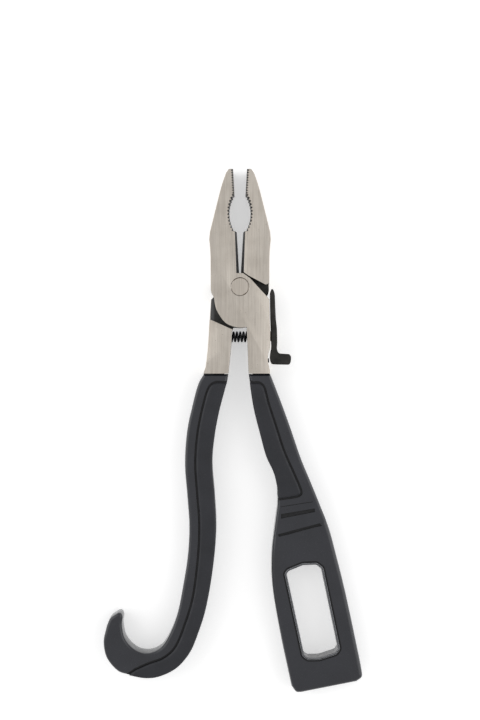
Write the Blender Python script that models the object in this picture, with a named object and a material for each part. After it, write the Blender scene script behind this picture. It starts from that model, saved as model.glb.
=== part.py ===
"""Spring-opened combination pliers with a spanner hook and a valve-slot handle.

The tool lies flat: +Y runs to the jaw tips, +Z up through the rivet, and the
origin is on the rivet's axis in the plane that the tool rests on.  Lengths in
the functions below are millimetres; build_mesh turns them into metres.
"""
import math

import bmesh
import bpy
import numpy as np

MM = 0.001

# Head
THICKNESS = 12.6                 # jaws, joint and necks, from face to face
MID = THICKNESS / 2              # plane where the two halves meet
GAP = 0.3                        # clearance between neighbouring pieces
OPENING_HALF = math.radians(3.2)  # each jaw's turn from closed to the rest pose
MATING_CLEARANCE = 0.05          # left between each jaw and the closed plane
TOOTH_DEPTH = 0.8
TIP_TEETH = 10
PIPE_TEETH = 12
CUTTER_SETBACK_LOW = 1.2         # from the cutting edge back to the face, low end
CUTTER_SETBACK_HIGH = 0.9
CUTTER_LAND = 0.4                # thickness of the cutting edge itself
RIVET_RADIUS = 3.9
RIVET_CLEARANCE = 0.1
SEGMENTS = 48                    # sides of a round piece

# Handles
SHOULDER_Y = -37.9               # where the bare neck ends and the coating starts
TANG_OVERLAP = 1.2               # how far the tang runs into the neck
COATING_GAP = 0.3
COATING_WALL = 0.9
COATING_Z = (0.9, THICKNESS - 0.9)
GRIP_WRAP = 1.2                  # how far the coating steps in beside the grip layer
PRY_Z = (2.1, THICKNESS - 2.1)   # coating faces of the thin pry end
EDGE_RADIUS = 1.6
GRIP_EDGE_RADIUS = 1.0
GROOVE_DEPTH = 0.6

# Return spring, lying across between the necks
SPRING_Y = -21.8
SPRING_ENDS = (-7.1, 6.5)
SPRING_RADIUS = 2.05
SPRING_WIRE = 0.42
SPRING_TURNS = 9
SPRING_SEAT_RADIUS = 2.85
SPRING_SEAT_DEPTH = 0.3          # seat left beyond each end of the spring

# Latch
LATCH_PIVOT = (14.8, -21.5)
LATCH_Z = (6.6, 11.6)
LUG_Z = (1.5, 5.9)
LUG_RADIUS = 1.6
PIN_RADIUS = 0.6
PIN_CLEARANCE = 0.1
PIN_Z = (1.0, 10.2)
LATCH_SPRING_Y = -32.2
LATCH_SPRING_Z = 9.1
LATCH_SPRING_ENDS = (10.3, 12.85)
LATCH_SPRING_RADIUS = 0.8
LATCH_SPRING_WIRE = 0.2
LATCH_SPRING_TURNS = 4
LATCH_SEAT_RADIUS = 1.3


# ---------------------------------------------------------------- outlines

def spline(points, steps=4):
    """A smooth open curve through the points."""
    pts = [np.array(p, float) for p in points]
    pts = [2 * pts[0] - pts[1]] + pts + [2 * pts[-1] - pts[-2]]
    curve = []
    for a, b, c, d in zip(pts, pts[1:], pts[2:], pts[3:]):
        for t in np.arange(steps) / steps:
            curve.append(0.5 * (2 * b + (c - a) * t + (2 * a - 5 * b + 4 * c - d) * t ** 2
                                + (3 * b - a - 3 * c + d) * t ** 3))
    curve.append(pts[-2])
    return [tuple(p) for p in curve]


def bulge(start, end, height, count):
    """Points of an arc from start to end that swells to the left by height."""
    a = np.array(start, float)
    b = np.array(end, float)
    chord = b - a
    left = np.array([-chord[1], chord[0]]) / np.linalg.norm(chord)
    half = np.linalg.norm(chord) / 2
    radius = (half ** 2 + height ** 2) / (2 * height)
    sweep = math.asin(half / radius)
    centre = (a + b) / 2 + left * (height - radius)
    along = chord / (2 * half)
    points = []
    for angle in np.linspace(-sweep, sweep, count):
        points.append(tuple(centre + radius * (along * math.sin(angle) + left * math.cos(angle))))
    return points


def circle(centre, radius, count=SEGMENTS):
    return [(centre[0] + radius * math.cos(2 * math.pi * i / count),
             centre[1] + radius * math.sin(2 * math.pi * i / count)) for i in range(count)]


def normals(points, closed):
    """Unit normals to the left of the direction of travel."""
    pts = np.array(points, float)
    if closed:
        ahead = np.roll(pts, -1, axis=0)
        behind = np.roll(pts, 1, axis=0)
    else:
        ahead = np.vstack([pts[1:], pts[-1:]])
        behind = np.vstack([pts[:1], pts[:-1]])
    before = pts - behind
    after = ahead - pts
    before /= np.maximum(np.linalg.norm(before, axis=1), 1e-9)[:, None]
    after /= np.maximum(np.linalg.norm(after, axis=1), 1e-9)[:, None]
    along = before + after
    along /= np.maximum(np.linalg.norm(along, axis=1), 1e-9)[:, None]
    cosine = np.maximum(np.maximum((along * after).sum(axis=1), (along * before).sum(axis=1)), 0.5)
    return np.column_stack([-along[:, 1], along[:, 0]]) / cosine[:, None]


def inset(outline, distance):
    """The closed outline, counter-clockwise, moved inwards by distance."""
    moved = np.array(outline, float) + normals(outline, True) * distance
    return [tuple(p) for p in moved]


def tuck(points, depth):
    """An open stretch of a counter-clockwise outline moved inwards, its ends kept."""
    pts = np.array(points, float)
    move = normals(points, False) * depth
    move[0] = 0
    move[-1] = 0
    return [tuple(p) for p in pts + move]


def toothed(points, depth):
    """Sinks every other point by depth to the left of the direction of travel."""
    pts = np.array(points, float)
    sunk = pts + normals(points, False) * depth
    return [tuple(sunk[i]) if i % 2 else tuple(pts[i]) for i in range(len(pts))]


# ------------------------------------------------------------------ meshes

def material(name, colour, roughness, metallic=0.0):
    mat = bpy.data.materials.new(name)
    mat.use_nodes = True
    shader = mat.node_tree.nodes["Principled BSDF"]
    shader.inputs["Base Color"].default_value = (*colour, 1.0)
    shader.inputs["Roughness"].default_value = roughness
    shader.inputs["Metallic"].default_value = metallic
    return mat


def build_mesh(name, mat, vertices, faces, origin=(0.0, 0.0, 0.0)):
    """An object from millimetre vertices, with its origin at the given point."""
    base = np.array(origin, float)
    mesh = bpy.data.meshes.new(name)
    mesh.from_pydata([tuple((np.array(v) - base) * MM) for v in vertices], [], faces)
    solid = bmesh.new()
    solid.from_mesh(mesh)
    bmesh.ops.recalc_face_normals(solid, faces=solid.faces)
    solid.to_mesh(mesh)
    solid.free()
    mesh.shade_smooth()
    mesh.set_sharp_from_angle(angle=math.radians(35))
    obj = bpy.data.objects.new(name, mesh)
    obj.location = tuple(base * MM)
    if mat:
        mesh.materials.append(mat)
    bpy.context.scene.collection.objects.link(obj)
    return obj


def stack(name, mat, loops, origin=(0.0, 0.0, 0.0)):
    """A closed solid skinned over loops of equal length, with flat end caps."""
    count = len(loops[0])
    vertices = [v for loop in loops for v in loop]
    faces = [list(range(count)), list(range(len(vertices) - count, len(vertices)))]
    for ring in range(len(loops) - 1):
        low = ring * count
        high = low + count
        for i in range(count):
            j = (i + 1) % count
            faces.append([low + i, low + j, high + j, high + i])
    return build_mesh(name, mat, vertices, faces, origin)


def slab(name, mat, outline, z_range, origin=(0.0, 0.0, 0.0)):
    """A straight-sided plate."""
    return stack(name, mat, [[(x, y, z) for x, y in outline] for z in z_range], origin)


def rounded_slab(name, mat, outline, z_range, radius, steps=2, origin=(0.0, 0.0, 0.0)):
    """A plate with its upper and lower edges rounded."""
    loops = []
    for i in range(steps + 1):
        angle = math.pi / 2 * i / steps
        ring = inset(outline, radius * (1 - math.sin(angle)))
        loops.append([(x, y, z_range[0] + radius * (1 - math.cos(angle))) for x, y in ring])
    for loop in reversed(loops[:]):
        loops.append([(x, y, z_range[0] + z_range[1] - z) for x, y, z in loop])
    return stack(name, mat, loops, origin)


def rod(name, mat, start, end, radius, count=SEGMENTS):
    """A round bar along Z or along X."""
    axis = np.array(end, float) - np.array(start, float)
    loops = []
    for point in (start, end):
        ring = circle((0, 0), radius, count)
        if abs(axis[2]) > abs(axis[0]):
            loops.append([(point[0] + u, point[1] + v, point[2]) for u, v in ring])
        else:
            loops.append([(point[0], point[1] + u, point[2] + v) for u, v in ring])
    return stack(name, mat, loops, start if mat else (0.0, 0.0, 0.0))


def coil(name, mat, ends, centre_y, centre_z, radius, wire, turns):
    """A round-wire coil spring along X."""
    per_turn = 14
    sides = 8
    total = turns * per_turn
    loops = []
    length = ends[1] - ends[0] - 2 * wire
    for i in range(total + 1):
        angle = 2 * math.pi * i / per_turn
        centre = np.array([ends[0] + wire + length * i / total,
                           centre_y + radius * math.cos(angle),
                           centre_z + radius * math.sin(angle)])
        out = np.array([0, math.cos(angle), math.sin(angle)])
        rise = length / (2 * math.pi * turns)
        along = np.array([rise, -radius * math.sin(angle), radius * math.cos(angle)])
        side = np.cross(along / np.linalg.norm(along), out)
        ring = []
        for k in range(sides):
            turn = 2 * math.pi * k / sides
            ring.append(tuple(centre + wire * (out * math.cos(turn) + side * math.sin(turn))))
        loops.append(ring)
    return stack(name, mat, loops, (0.0, centre_y, centre_z))


def boolean(obj, tool, operation):
    """Joins or cuts obj with a helper solid, which is then hidden."""
    tool.hide_render = True
    tool.display_type = "WIRE"
    step = obj.modifiers.new(operation.lower(), "BOOLEAN")
    step.operation = operation
    step.solver = "EXACT"
    step.object = tool
    return obj


def cut(obj, tool):
    return boolean(obj, tool, "DIFFERENCE")


def join(obj, tool):
    return boolean(obj, tool, "UNION")


# -------------------------------------------------------------------- head

def mating_x(y):
    """The jaw's inner limit at height y: the closed plane, opened to rest."""
    return -(y * math.tan(OPENING_HALF) + MATING_CLEARANCE)


JAW_OUTER = ([(-4.9, 51.4)] + spline([(-6.2, 49.6), (-8.2, 43.7), (-10.7, 34.0), (-13.2, 23.8)], 3)
             + spline([(-13.5, 20.6), (-13.1, 16.8), (-12.9, 12.9)], 2))
DISK_EDGE = [(-12.8, -1.5)] + spline([(-12.4, -3.0), (-11.4, -4.8), (-10.9, -7.9), (-9.8, -11.1),
                                      (-6.3, -15.9), (-1.3, -17.8), (2.9, -17.7)], 3)
CROTCH_Y = 5.95                  # flat bottom of the gap between the cutters
CROTCH = [(12.8, -5.4), (4.4, 3.8), (1.4, CROTCH_Y)]
THROAT_Y = 40.4                  # between the tip teeth and the pipe grip
GRIP_LOW_Y = 24.3                # between the pipe grip and the cutter
TIP_Y = 51.4
GRIP_HOLLOW = 2.25               # depth of the pipe grip's arc


def jaw_inner():
    """The inner edge from the crotch to the tip, with its two rows of teeth."""
    low = (mating_x(GRIP_LOW_Y) - CUTTER_SETBACK_HIGH, GRIP_LOW_Y)
    high = (mating_x(THROAT_Y), THROAT_Y)
    grip = toothed(bulge(low, high, GRIP_HOLLOW, 2 * PIPE_TEETH + 1), TOOTH_DEPTH)
    tip_ys = np.linspace(THROAT_Y, TIP_Y, 2 * TIP_TEETH + 1)[1:]
    tip = [(mating_x(y), y) for y in [THROAT_Y] + list(tip_ys)]
    cutter = [(mating_x(CROTCH_Y), CROTCH_Y), (mating_x(GRIP_LOW_Y), GRIP_LOW_Y)]
    return cutter + grip + toothed(tip, TOOTH_DEPTH)[1:]


def cutter_bevel(name, up):
    """Removes the metal between the cutting edge and one face of the jaw."""
    direction = 1 if up else -1
    edge_z = MID + direction * CUTTER_LAND / 2
    face_z = MID + direction * (MID + 1)
    reach = 6
    loops = []
    for y, setback in ((CROTCH_Y, CUTTER_SETBACK_LOW), (GRIP_LOW_Y, CUTTER_SETBACK_HIGH)):
        x = mating_x(y)
        slope = setback / (MID - CUTTER_LAND / 2)
        face_x = x - slope * abs(face_z - edge_z)
        loops.append([(x, y, edge_z), (face_x, y, face_z), (x + reach, y, face_z), (x + reach, y, edge_z)])
    return stack(name, None, loops)


def lap_pocket(name):
    """The room in the lower half of the joint for the other forging."""
    side = 17
    outline = [(-side, 1.3), (-12.5, 1.3), (-11.2, 0.8), (-3.7, 4.8), (-1.4, 6.4), (0, 8.5), (side, 8.5),
               (side, -12.5), (13.4, -14.1), (3.8, -18.4), (1.0, -19.6), (-side, -19.6)]
    return slab(name, None, outline, (-1, MID + GAP / 2))


def forging(name, mat, neck_outer, neck_inner, tang, spring_end):
    """One half of the pliers, jaw at -X and on top, before it is turned over or not."""
    outline = JAW_OUTER + DISK_EDGE + neck_inner + neck_outer + CROTCH + jaw_inner()
    half = slab(name, mat, outline, (0, THICKNESS))
    join(half, tang)
    cut(half, lap_pocket(name + "_pocket"))
    for up in (True, False):
        cut(half, cutter_bevel(name + "_bevel_" + str(up), up))
    hole_radius = RIVET_RADIUS + RIVET_CLEARANCE
    cut(half, rod(name + "_rivet_hole", None, (0, 0, -1), (0, 0, THICKNESS + 1), hole_radius))
    seat = rod(name + "_seat", None, (0.0, SPRING_Y, MID), (spring_end + SPRING_SEAT_DEPTH, SPRING_Y, MID),
               SPRING_SEAT_RADIUS, 24)
    cut(half, seat)
    return half


def turn_over(*objects):
    """Turns meshes about the Y direction through the middle of the thickness."""
    for obj in objects:
        for vertex in obj.data.vertices:
            vertex.co.x = -vertex.co.x
            vertex.co.z = THICKNESS * MM - vertex.co.z


# ----------------------------------------------------------------- handles

HOOK_OUTER = [(-15.9, SHOULDER_Y - COATING_GAP), (-18.4, -42.9), (-20.9, -52.2), (-23.2, -63.4),
              (-24.1, -77.5), (-23.0, -92.1), (-22.2, -104.6), (-22.8, -117.1), (-24.7, -129.6),
              (-27.2, -142.3)]
HOOK_INSIDE = [(-30.3, -151.0), (-34.4, -157.6), (-40.3, -160.2), (-46.0, -158.7), (-50.3, -154.0),
               (-51.6, -148.3), (-51.3, -144.3)]
HOOK_TIP = [(-51.7, -143.1), (-52.4, -142.5), (-53.3, -142.5), (-56.3, -144.4), (-57.2, -145.5)]
HOOK_OUTSIDE = [(-58.3, -148.3), (-59.7, -155.2), (-58.3, -162.3), (-53.6, -167.9), (-49.0, -169.6)]
HOOK_GRIPPED = [(-49.0, -169.6), (-41.6, -171.0), (-34.9, -170.2), (-27.6, -166.5), (-22.0, -160.0),
                  (-18.6, -152.3), (-14.9, -140.6), (-11.9, -123.5), (-10.5, -106.7), (-11.1, -92.0),
                  (-12.2, -77.5), (-11.3, -66.3), (-9.3, -55.2), (-6.6, -44.8), (-5.7, -41.9)]
HOOK_TOP = [(-5.1, SHOULDER_Y - COATING_GAP)]
HOOK_GROOVE = [(-6.6, -42.0), (-10.9, -42.1), (-13.6, -44.6), (-15.9, -52.2), (-18.3, -64.5), (-19.2, -77.4),
               (-18.4, -90.0), (-17.5, -102.5), (-17.9, -116.5), (-20.2, -135.1), (-24.0, -148.0),
               (-28.0, -157.4), (-33.3, -162.3), (-39.9, -164.8), (-45.5, -167.3)]

SLOT_TOP = [(3.8, SHOULDER_Y - COATING_GAP)]
SLOT_GRIPPED = [(4.3, -41.5), (4.7, -45.2), (6.2, -54.2), (8.9, -64.9), (11.4, -74.0), (14.6, -81.0),
                  (16.3, -87.6), (16.5, -92.6)]
SLOT_INNER = [(16.4, -96.0), (15.2, -105.0), (13.9, -117.0), (14.3, -131.8), (17.7, -151.9), (21.3, -169.0)]
SLOT_END = [(22.6, -174.9), (24.6, -177.5), (26.8, -177.7), (51.1, -172.9), (53.5, -170.9)]
SLOT_OUTER = [(53.3, -167.5), (51.4, -158.0), (46.2, -133.7), (42.0, -116.8), (38.9, -105.5), (34.6, -94.4),
              (30.9, -85.3), (26.6, -74.9), (21.9, -61.2), (17.8, -49.9), (13.8, -39.6)]
SLOT_LAST = [(13.2, SHOULDER_Y - COATING_GAP)]
SLOT_GROOVE = [(22.3, -91.8), (25.4, -91.1), (26.4, -89.2), (23.4, -81.8), (18.9, -71.6), (15.6, -61.4),
               (12.3, -51.3), (10.4, -44.3), (8.4, -42.2), (5.6, -42.2)]
SLOT_HEXAGON = [(20.4, -125.6), (28.1, -161.1), (29.8, -162.4), (34.8, -162.3), (41.8, -160.0),
                (42.9, -158.3), (35.6, -123.3), (33.4, -121.6), (27.6, -121.8), (21.4, -124.3)]
PRY_LINE = [(10.0, -109.9), (17.0, -108.0), (34.7, -103.3), (50.0, -99.2)]
PRY_FAR = (70, -185)
TRANSVERSE_GROOVE = [(17.9, -101.3), (17.9, -99.3), (32.7, -96.8), (32.7, -98.4)]


def hook_silhouette(depth):
    """The hook handle seen from above; depth steps the gripped side in."""
    return (spline(HOOK_OUTER + HOOK_INSIDE, 3) + HOOK_TIP + spline(HOOK_OUTSIDE, 3)[:-1]
            + spline(tuck(HOOK_GRIPPED, depth), 3) + HOOK_TOP)


def slot_silhouette(depth):
    """The slot handle seen from above; depth steps the gripped side in."""
    return (SLOT_TOP + spline(tuck(SLOT_GRIPPED, depth), 3) + spline(SLOT_INNER, 3)
            + spline(SLOT_END[:3], 2) + spline(SLOT_END[3:] + SLOT_OUTER[:1], 2)[:-1]
            + spline(SLOT_OUTER, 3) + SLOT_LAST)


def raised(outline, distance, top_y):
    """The outline inset by distance, with its top end drawn up to top_y."""
    return [(x, top_y if y > SHOULDER_Y - 2 * distance - 1 else y) for x, y in inset(outline, distance)]


def thin_pry_end(obj, name, shift, z_range):
    """Thins whatever lies past the pry line to z_range."""
    far_x, far_y = PRY_FAR
    edge = [(x, y + shift) for x, y in PRY_LINE]
    outline = [(edge[0][0], far_y), (far_x, far_y), (far_x, edge[-1][1])] + edge[::-1]
    cut(obj, slab(name, None, outline, (z_range[1], THICKNESS + 1)))
    cut(obj, slab(name + "_under", None, outline, (-1, z_range[0])))


def inner_solid(name, silhouette, distance, z_step, slot=False):
    """The coating's hollow, or the tang inside it: the coating's shape, smaller all round."""
    z_range = (COATING_Z[0] + z_step, COATING_Z[1] - z_step)
    solid = slab(name, None, raised(silhouette, distance, SHOULDER_Y + TANG_OVERLAP), z_range)
    if slot:
        thin_pry_end(solid, name + "_thin", distance, (PRY_Z[0] + z_step, PRY_Z[1] - z_step))
        cut(solid, slab(name + "_slot", None, inset(SLOT_HEXAGON, -distance), (-1, THICKNESS + 1)))
    return solid


def coating(name, mat, silhouette, slot=False):
    """The dipped sleeve over one handle, open at the neck."""
    sleeve = rounded_slab(name, mat, silhouette, COATING_Z, EDGE_RADIUS)
    if slot:
        thin_pry_end(sleeve, name + "_pry", 0.0, PRY_Z)
        for z_range in ((COATING_Z[1] - GROOVE_DEPTH, THICKNESS), (0, COATING_Z[0] + GROOVE_DEPTH)):
            cut(sleeve, slab(name + "_groove_" + str(z_range[0] > MID), None, TRANSVERSE_GROOVE, z_range))
    cut(sleeve, inner_solid(name + "_hollow", silhouette, COATING_WALL, COATING_WALL, slot))
    if slot:
        cut(sleeve, slab(name + "_slot", None, SLOT_HEXAGON, (-1, THICKNESS + 1)))
    return sleeve


def grip(name, mat, edge, groove, silhouette):
    """A soft pad that wraps the inner side and both faces of a coated handle."""
    pad = rounded_slab(name, mat, edge + groove, (0, THICKNESS), GRIP_EDGE_RADIUS)
    clear = (COATING_Z[0] - GAP, COATING_Z[1] + GAP)
    cut(pad, slab(name + "_room", None, inset(silhouette, -GAP), clear))
    return pad


# ------------------------------------------------------------------- latch

LATCH_OUTLINE = [(13.9, -33.9), (16.3, -34.0), (21.7, -34.1), (22.3, -32.6), (22.4, -30.5), (21.7, -29.4),
                 (16.9, -29.1), (16.1, -27.2), (16.35, -24.7), (16.2, -18.3), (15.7, -14.0), (15.4, -7.6),
                 (15.3, -3.9), (15.0, -2.2), (14.5, -1.1), (13.8, -0.8), (13.1, -2.6), (13.15, -5.4),
                 (13.3, -14.9), (13.5, -19.8), (13.7, -25.5), (13.7, -26.9), (13.25, -28.9), (13.05, -31.1),
                 (13.3, -32.6)]


def latch_lever(mat):
    lever = rounded_slab("latch_lever", mat, LATCH_OUTLINE, LATCH_Z, 0.4, 1, (*LATCH_PIVOT, LATCH_Z[0]))
    hole = rod("latch_lever_hole", None, (*LATCH_PIVOT, 0), (*LATCH_PIVOT, PIN_Z[1] + GAP),
               PIN_RADIUS + PIN_CLEARANCE, 20)
    return cut(lever, hole)


def add_latch_seat(half):
    """The lug under the lever, its pin hole, and the seat of the latch's spring."""
    x, y = LATCH_PIVOT
    nose = [(x + LUG_RADIUS * math.cos(a), y + LUG_RADIUS * math.sin(a)) for a in np.linspace(-1.4, 1.4, 9)]
    join(half, slab("latch_lug", None, [(12.4, y - 2.6)] + nose + [(12.4, y + 2.6)], LUG_Z))
    cut(half, rod("latch_pin_hole", None, (x, y, -1), (x, y, THICKNESS), PIN_RADIUS + PIN_CLEARANCE, 20))
    start = (LATCH_SPRING_ENDS[0] - GAP, LATCH_SPRING_Y, LATCH_SPRING_Z)
    cut(half, rod("latch_spring_seat", None, start, (16, *start[1:]), LATCH_SEAT_RADIUS, 16))


# ---------------------------------------------------------------- assembly

FRONT_NECK_INNER = [(3.3, -25.3), (3.8, SHOULDER_Y)]
FRONT_NECK_OUTER = ([(13.2, SHOULDER_Y), (13.0, -36.2)]
                    + spline([(12.4, -33.6), (12.1, -31.1), (12.5, -28.8), (13.1, -26.8)], 2)
                    + [(13.2, -25.5), (13.2, -19.8), (13.0, -14.9)])
REAR_NECK_INNER = spline([(3.6, -19.5), (3.8, -25.5), (5.1, SHOULDER_Y)], 3)
REAR_NECK_OUTER = spline([(15.9, SHOULDER_Y), (15.0, -34.6), (14.2, -28.0), (13.6, -19.8), (13.2, -12.0)], 2)


def build():
    steel = material("forged_steel", (0.45, 0.42, 0.38), 0.35, 1.0)
    dark_steel = material("rivet_steel", (0.40, 0.37, 0.33), 0.35, 1.0)
    black_steel = material("black_oxide_steel", (0.03, 0.03, 0.028), 0.45, 0.6)
    spring_wire = material("spring_wire", (0.02, 0.02, 0.02), 0.35, 0.8)
    vinyl = material("dipped_vinyl", (0.05, 0.05, 0.055), 0.35)
    rubber = material("grip_rubber", (0.035, 0.035, 0.036), 0.55)

    hook_outline = hook_silhouette(GRIP_WRAP)
    slot_outline = slot_silhouette(GRIP_WRAP)
    inner_step = COATING_WALL + COATING_GAP

    tang = inner_solid("slot_tang", slot_outline, inner_step, inner_step, True)
    front = forging("front_half", steel, FRONT_NECK_OUTER, FRONT_NECK_INNER, tang, SPRING_ENDS[1])
    add_latch_seat(front)

    tang = inner_solid("hook_tang", hook_outline, inner_step, inner_step)
    turn_over(tang)
    rear = forging("rear_half", steel, REAR_NECK_OUTER, REAR_NECK_INNER, tang, -SPRING_ENDS[0])
    turn_over(rear, *[step.object for step in rear.modifiers])

    rod("rivet", dark_steel, (0, 0, 0), (0, 0, THICKNESS), RIVET_RADIUS)
    coil("return_spring", spring_wire, SPRING_ENDS, SPRING_Y, MID, SPRING_RADIUS, SPRING_WIRE, SPRING_TURNS)
    latch_lever(black_steel)
    rod("latch_pin", dark_steel, (*LATCH_PIVOT, PIN_Z[0]), (*LATCH_PIVOT, PIN_Z[1]), PIN_RADIUS, 20)
    coil("latch_spring", spring_wire, LATCH_SPRING_ENDS, LATCH_SPRING_Y, LATCH_SPRING_Z,
         LATCH_SPRING_RADIUS, LATCH_SPRING_WIRE, LATCH_SPRING_TURNS)

    coating("hook_handle_coating", vinyl, hook_outline)
    coating("slot_handle_coating", vinyl, slot_outline, True)
    grip("hook_handle_grip", rubber, spline(HOOK_GRIPPED, 3), spline(HOOK_GROOVE, 3), hook_outline)
    grip("slot_handle_grip", rubber, spline(SLOT_GRIPPED, 3), spline(SLOT_GROOVE, 3), slot_outline)


for old in list(bpy.data.objects):
    bpy.data.objects.remove(old, do_unlink=True)
build()
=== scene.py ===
"""Looks of the spring-opened combination pliers: finer surfaces, materials, floor, light and camera.

Outlines are in millimetres in the CAD frame; the mesh builders turn them into metres.
"""
import math

import bmesh
import bpy
import numpy as np
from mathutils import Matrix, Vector
from mathutils.geometry import delaunay_2d_cdt


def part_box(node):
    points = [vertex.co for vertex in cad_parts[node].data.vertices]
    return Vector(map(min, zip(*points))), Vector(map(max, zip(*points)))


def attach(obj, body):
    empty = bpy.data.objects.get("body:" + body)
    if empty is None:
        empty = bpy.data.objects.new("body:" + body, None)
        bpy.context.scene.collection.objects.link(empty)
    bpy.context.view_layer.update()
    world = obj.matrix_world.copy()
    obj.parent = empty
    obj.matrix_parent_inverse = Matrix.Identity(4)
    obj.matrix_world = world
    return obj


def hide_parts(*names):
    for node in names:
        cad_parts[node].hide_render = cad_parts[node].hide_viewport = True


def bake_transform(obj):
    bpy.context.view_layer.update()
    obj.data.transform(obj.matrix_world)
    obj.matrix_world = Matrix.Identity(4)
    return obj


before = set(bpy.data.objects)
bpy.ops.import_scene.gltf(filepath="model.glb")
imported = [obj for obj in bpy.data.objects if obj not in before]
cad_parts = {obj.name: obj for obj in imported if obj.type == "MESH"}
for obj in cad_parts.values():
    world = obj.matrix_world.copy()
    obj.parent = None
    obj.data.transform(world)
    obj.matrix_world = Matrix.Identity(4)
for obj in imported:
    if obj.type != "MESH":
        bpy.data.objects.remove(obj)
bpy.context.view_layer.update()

MM = 0.001
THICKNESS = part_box("rivet")[1][2] / MM
MID = THICKNESS / 2
GAP = 0.3                        # between pieces that meet
PAST = 1.0                       # how far a cutter runs past the face that it cuts

# Mesh making
CURVE_STEPS = 8
END_STEPS = 4                    # for the short curves at the pry end's corners
TURN_LIMIT = 0.5                 # the least cosine that a corner's offset is divided by
CORNER_STEPS = 3
CORNER_SHARE = 0.45              # the most of a side that one rounded corner takes
EDGE_SPACING = 1.3               # between points along a rounded edge
FACE_SPACING = 1.6               # between points over a flat face
EDGE_SHARES = (0.07, 0.2, 0.4, 0.68, 1.0)   # rows of points over a round edge, as shares of its radius
ROW_KEPT = 0.94                  # share of its step that a row's point keeps from every edge
FACE_CLEARANCE = 1.1             # the flat face's points start this many radii from the edge
SMOOTH_ANGLE = 38
FORGED_SMOOTH_ANGLE = 24
EASED_ANGLE = 32                 # edges sharper than this are broken
FLAT_ANGLE = 0.6                 # faces closer to one plane than this are joined before that
WELD = 0.002                     # points closer than this become one
FORGING_EASE = 0.22
RIVET_EASE = 0.12
PIN_EASE = 0.08

# Handles
SHOULDER_Y = -37.9               # where the bare necks end
SHARP_BELOW_Y = SHOULDER_Y + 0.8   # the shoulders' edges, in the shadow of the coatings, aren't broken
COATING_TOP_Y = SHOULDER_Y - GAP
COATING_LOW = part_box("hook_handle_coating")[0][2] / MM
COATING_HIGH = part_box("hook_handle_coating")[1][2] / MM
COATING_WALL = 0.9
COATING_ROUND = 1.3
OPEN_END_Y = SHOULDER_Y + 2.5    # how far up the room for a tang is cut, so that the coating's top is open
GRIP_WRAP = 1.2                  # from a grip's inner edge to the coating under it
GRIP_CLEARANCE = 0.8 * GAP
GRIP_ROUND = 1.0
CHANNEL_WIDTH = 0.85             # shadow groove that runs beside each grip
CHANNEL_DEPTH = 0.7

# Pry end and its slot
PRY_LOW = 2.1
PRY_HIGH = THICKNESS - PRY_LOW
PRY_ROUND = 1.7
PRY_OVERLAP = 0.8                # how far the thinned end reaches up into the handle
PRY_OVERCUT = 0.01               # keeps the underside's cut off the thinned end's own face
TRANSVERSE_DEPTH = 0.85
FINE_DEPTH = 0.25
STEP_DEPTH = 0.7
HEXAGON_ROUND = 0.5
LINING_WALL = 0.8                # coating round the slot, outside the lip
LIP_WIDTH = 1.0
LIP_HEIGHT = 0.5
LIP_SINK = 0.3                   # how far the lip starts below the face
LIP_REACH = 0.5                  # how far it runs into the opening before the slot is cut
LIP_STEPS = 8
LIP_HIGHLIGHT_RISE = 0.32                 # the lip is painted pale, a painted highlight, from this far above the pry end's face
RING_OVERLAP = 0.1               # the shadow ring round the lip: under the lip, past it and down
RING_WIDTH = 0.6
RING_DEPTH = 0.4

# Jaws
GRIP_LOW_X = 2.31
GRIP_LOW_Y = 24.3
THROAT_X = 2.31
THROAT_Y = 40.4
TIP_X = 2.92
TIP_Y = 51.4
GRIP_HOLLOW = 2.25
PIPE_TEETH = 12
TIP_TEETH = 10
ROOT_DEPTH = 0.6                 # from the tips of the teeth to the pegs that open their roots
ROOT_RADIUS = 0.36
ROOT_SINK = 3.4

# Latch
LATCH_CORNER = 0.8
LATCH_ROUND = 0.6
LATCH_HOLE_RADIUS = 0.7
LATCH_HOLE_SIDES = 24

# Springs
DEAD_PITCH = 1.08                # between the closed end turns, in wire diameters
SPRING_Y = -21.8
SPRING_ENDS = (-7.1, 6.5)
SPRING_RADIUS = 2.05
SPRING_TURNS = 9.5
SPRING_WIRE = 0.42
LATCH_SPRING_Y = -32.2
LATCH_SPRING_Z = 9.1
LATCH_SPRING_ENDS = (10.3, 12.85)
LATCH_SPRING_RADIUS = 0.8
LATCH_SPRING_TURNS = 4.5
LATCH_SPRING_WIRE = 0.2
LATCH_SPRING_SIDES = 8

# Stage, in metres; the camera is straight above the middle of the picture's frame
VIEW_CENTRE = (0.0, -0.0320)
CAMERA_HEIGHT = 0.60
FRAME_LENGTH = 0.314             # what the long side shows at the object's face
SENSOR = 36.0
FLOOR_REACH = 3.0
FLOOR_Z = -0.0003
FLOOR_GLOW = 0.45
SKY_LIGHT = 0.62
LIGHT_TARGET = (0, -0.03, 0)
SOFTBOX_SIZE = (0.9, 1.6)
SOFTBOXES = (("softbox_left", (-0.95, 0.25, 0.45), 4.0), ("softbox_right", (0.95, 0.05, 0.45), 3.5))


# ---------------------------------------------------------------- outlines

def spline(points, steps=CURVE_STEPS):
    """A smooth open curve through the points."""
    pts = [np.array(p, float) for p in points]
    pts = [2 * pts[0] - pts[1]] + pts + [2 * pts[-1] - pts[-2]]
    curve = []
    for a, b, c, d in zip(pts, pts[1:], pts[2:], pts[3:]):
        for t in np.arange(steps) / steps:
            curve.append(0.5 * (2 * b + (c - a) * t + (2 * a - 5 * b + 4 * c - d) * t ** 2
                                + (3 * b - a - 3 * c + d) * t ** 3))
    curve.append(pts[-2])
    return [tuple(p) for p in curve]


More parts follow.
